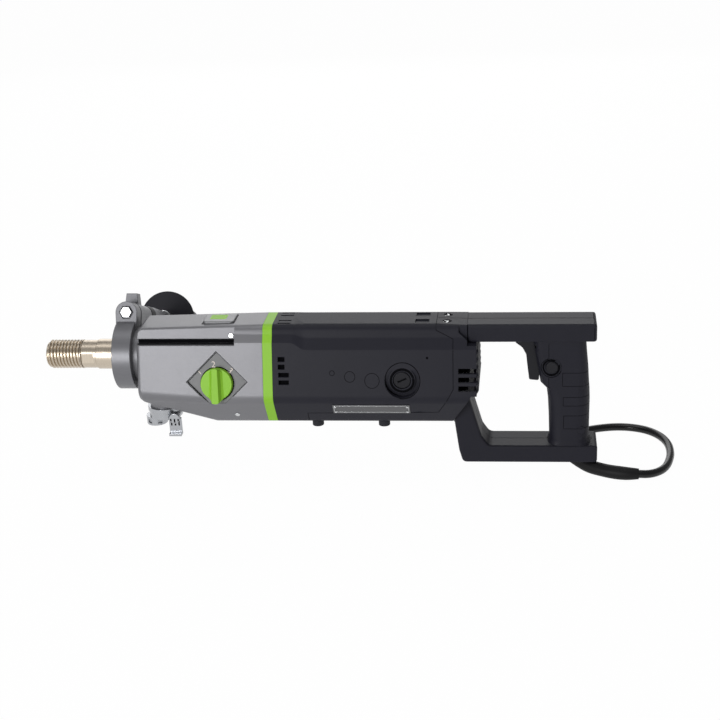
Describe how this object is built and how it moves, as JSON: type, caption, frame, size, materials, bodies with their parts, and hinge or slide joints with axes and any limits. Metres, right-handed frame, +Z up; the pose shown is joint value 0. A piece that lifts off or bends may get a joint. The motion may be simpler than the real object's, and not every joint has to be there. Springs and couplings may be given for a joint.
{
  "type": "diamond core drill",
  "caption": "Hand-held wet diamond core drill with a hollow threaded spindle, a speed dial, a clamped side handle, a water inlet, a rear D-handle with a trigger and a power cord.",
  "frame": {"origin": "on the spindle axis, at the rear end of the spindle's outer thread, where a core bit's shoulder stops", "axes": "+X along the spindle towards the rear handle, so the core bit points to -X; +Z up, towards the badge side; +Y to the side away from the speed dial"},
  "size_m": [0.6951, 0.3383, 0.1979],
  "materials": {
    "cast_grey": "satin fine texture",
    "green_plastic": "semi-gloss",
    "black_plastic": "fine-grained matte",
    "dark_plastic": "matte",
    "nickel_steel": "turned",
    "gear_steel": "ground",
    "bright_steel": "bright",
    "gear_bronze": "machined",
    "bush_bronze": "sintered",
    "seal_rubber": "smooth",
    "foot_rubber": "matte",
    "cord_rubber": "matte",
    "inner_alloy": "cast",
    "plate_alloy": "satin",
    "core_steel": "laminated",
    "copper": "enamelled winding",
    "carbon": "matte carbon",
    "clamp_alloy": "satin",
    "pin_brass": "bright"
  },
  "bodies": {
    "machine": {"gear_case": "cast_grey", "bearing_plate": "inner_alloy", "end_flange": "inner_alloy", "green_band": "green_plastic", "motor_housing": "black_plastic", "rear_cap": "black_plastic", "handle_left_shell": "black_plastic", "handle_right_shell": "black_plastic", "dial_plate": "cast_grey", "top_badge": "cast_grey", "rating_plate": "plate_alloy", "screws_and_rivets": "bright_steel", "feet": "foot_rubber", "outer_races": "gear_steel", "idler_bushes": "bush_bronze", "water_seals": "seal_rubber", "fork_rod": "bright_steel", "stator_core": "core_steel", "field_coils": "copper", "brush_holders": "bush_bronze", "carbon_brushes": "carbon", "brush_springs": "bright_steel", "brush_caps": "dark_plastic", "switch_module": "dark_plastic", "control_module": "dark_plastic", "water_valve": "bright_steel", "cord_sleeve": "cord_rubber", "power_cord": "cord_rubber", "cord_coil": "cord_rubber", "coil_tie": "dark_plastic", "plug_body": "cord_rubber", "plug_pins": "pin_brass"},
    "armature": {"armature_shaft": "gear_steel", "armature_core": "core_steel", "commutator": "copper", "cooling_fan": "dark_plastic", "armature_inner_races": "gear_steel"},
    "idler": {"idler_shaft": "gear_steel", "idler_gear": "gear_steel"},
    "layshaft": {"layshaft": "gear_steel", "layshaft_inner_races": "gear_steel"},
    "first_gear": {"first_gear": "gear_bronze"},
    "third_gear": {"third_gear": "gear_bronze"},
    "collar": {"shift_collar": "gear_steel"},
    "fork": {"shift_fork": "gear_steel"},
    "knob": {"gear_knob": "green_plastic"},
    "spindle": {"spindle": "nickel_steel", "spindle_gears": "gear_steel", "spindle_inner_races": "gear_steel"},
    "trigger": {"trigger": "dark_plastic"},
    "lock_button": {"lock_button": "dark_plastic"},
    "clamp": {"clamp_ring": "clamp_alloy", "clamp_bolt": "bright_steel", "handle_stem": "clamp_alloy"},
    "grip": {"hand_guard": "dark_plastic", "side_grip": "dark_plastic"},
    "valve_lever": {"valve_lever": "bright_steel"}
  },
  "joints": [
    {"name": "armature_spin", "type": "hinge", "parent": "machine", "child": "armature", "pos_m": [0.29, 0, -0.015], "axis": [1, 0, 0], "continuous": true},
    {"name": "idler_spin", "type": "hinge", "parent": "machine", "child": "idler", "pos_m": [0.19, 0.01983, -0.02332], "axis": [1, 0, 0], "continuous": true},
    {"name": "layshaft_spin", "type": "hinge", "parent": "machine", "child": "layshaft", "pos_m": [0.13, 0, -0.0375], "axis": [1, 0, 0], "continuous": true},
    {"name": "spindle_spin", "type": "hinge", "parent": "machine", "child": "spindle", "pos_m": [0, 0, 0], "axis": [1, 0, 0], "continuous": true},
    {"name": "first_gear_spin", "type": "hinge", "parent": "machine", "child": "first_gear", "pos_m": [0.13, 0, -0.0375], "axis": [1, 0, 0], "continuous": true},
    {"name": "third_gear_spin", "type": "hinge", "parent": "machine", "child": "third_gear", "pos_m": [0.13, 0, -0.0375], "axis": [1, 0, 0], "continuous": true},
    {"name": "knob_turn", "type": "hinge", "parent": "machine", "child": "knob", "pos_m": [0.1565, -0.04, -0.019], "axis": [0, -0.9659, 0.2588], "range_deg": [-45, 45]},
    {"name": "fork_slide", "type": "slide", "parent": "machine", "child": "fork", "axis": [1, 0, 0], "range_m": [-0.01, 0.01]},
    {"name": "collar_slide", "type": "slide", "parent": "layshaft", "child": "collar", "axis": [1, 0, 0], "range_m": [-0.01, 0.01]},
    {"name": "trigger_pull", "type": "hinge", "parent": "machine", "child": "trigger", "pos_m": [0.5005, 0, 0.0139], "axis": [0, -1, 0], "range_deg": [0, 9], "stiffness_Nm_per_rad": 0.8, "springref_deg": -14.32},
    {"name": "lock_press", "type": "slide", "parent": "machine", "child": "lock_button", "axis": [0, 1, 0], "range_m": [0, 0.0035], "stiffness_N_per_m": 400, "springref_m": -0.004},
    {"name": "clamp_turn", "type": "hinge", "parent": "machine", "child": "clamp", "pos_m": [0.05225, 0, 0], "axis": [1, 0, 0], "range_deg": [-135, 135]},
    {"name": "grip_turn", "type": "hinge", "parent": "clamp", "child": "grip", "pos_m": [0.05225, 0.15904, -0.01735], "axis": [0, 0.9232, -0.3843], "range_deg": [-180, 180]},
    {"name": "valve_turn", "type": "hinge", "parent": "machine", "child": "valve_lever", "pos_m": [0.1, -0.0195, -0.069], "axis": [0, -1, 0], "range_deg": [0, 90]}
  ],
  "couplings": [
    {"joint": "idler_spin", "follows": "armature_spin", "ratio": -0.30303},
    {"joint": "layshaft_spin", "follows": "armature_spin", "ratio": 0.15152},
    {"joint": "spindle_spin", "follows": "armature_spin", "ratio": -0.094185},
    {"joint": "first_gear_spin", "follows": "armature_spin", "ratio": 0.25901},
    {"joint": "third_gear_spin", "follows": "armature_spin", "ratio": 0.088109},
    {"joint": "knob_turn", "follows": "fork_slide", "rad_per_m": 78.54},
    {"joint": "collar_slide", "follows": "fork_slide", "ratio": 1}
  ]
}
